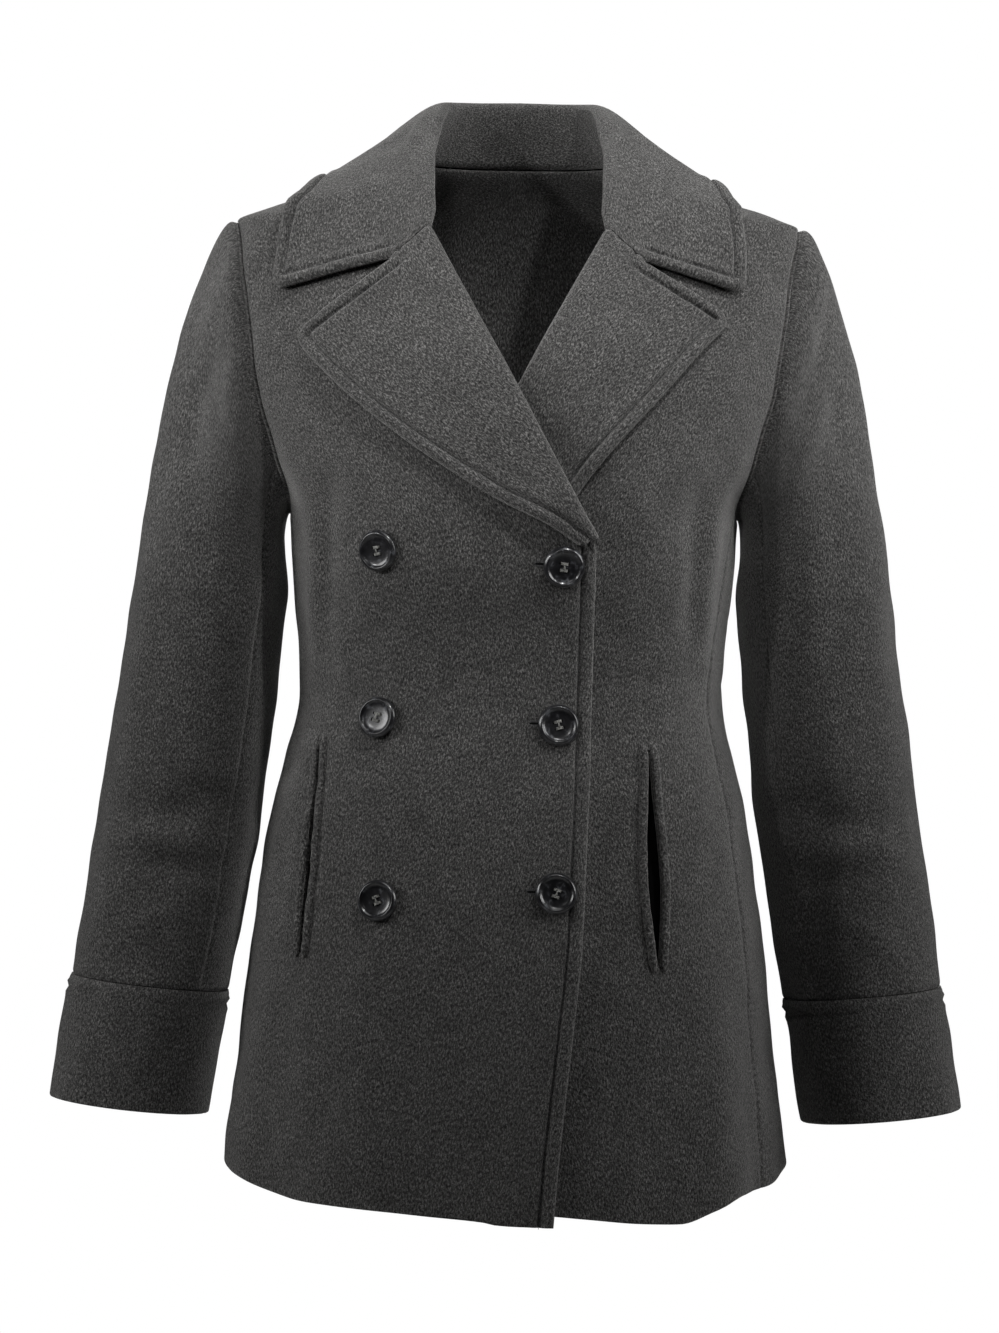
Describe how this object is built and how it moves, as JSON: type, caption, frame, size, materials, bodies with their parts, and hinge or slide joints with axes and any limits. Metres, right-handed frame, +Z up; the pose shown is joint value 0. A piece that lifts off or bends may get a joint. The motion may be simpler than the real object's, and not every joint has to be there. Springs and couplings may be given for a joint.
{
  "type": "pea coat",
  "caption": "Double-breasted wool pea coat with notched collar, slanted welt pockets and cuffed sleeves, filled out as if worn.",
  "frame": {"origin": "middle of the neck opening, level with the tops of the shoulder seams", "axes": "+Z up, -Y the coat's front, +X the wearer's left"},
  "size_m": [0.6334, 0.2954, 0.7766],
  "materials": {
    "wool": "dark charcoal melton, heathered, with a short nap",
    "pocketing": "dark plain cloth",
    "horn": "near-black imitation horn, polished"
  },
  "bodies": {
    "root": {"front_right": "wool", "front_left": "wool", "side_right": "wool", "side_left": "wool", "back": "wool", "upper_sleeve_right": "wool", "upper_sleeve_left": "wool", "under_sleeve_right": "wool", "under_sleeve_left": "wool", "cuff_right": "wool", "cuff_left": "wool", "lapel_right": "wool", "lapel_left": "wool", "welt_front_right": "wool", "welt_front_left": "wool", "welt_back_right": "wool", "welt_back_left": "wool", "collar": "wool", "pocket_bag_right": "pocketing", "pocket_bag_left": "pocketing", "button_right_top": "horn", "button_right_middle": "horn", "button_right_bottom": "horn", "button_left_top": "horn", "button_left_middle": "horn", "button_left_bottom": "horn"}
  },
  "joints": []
}
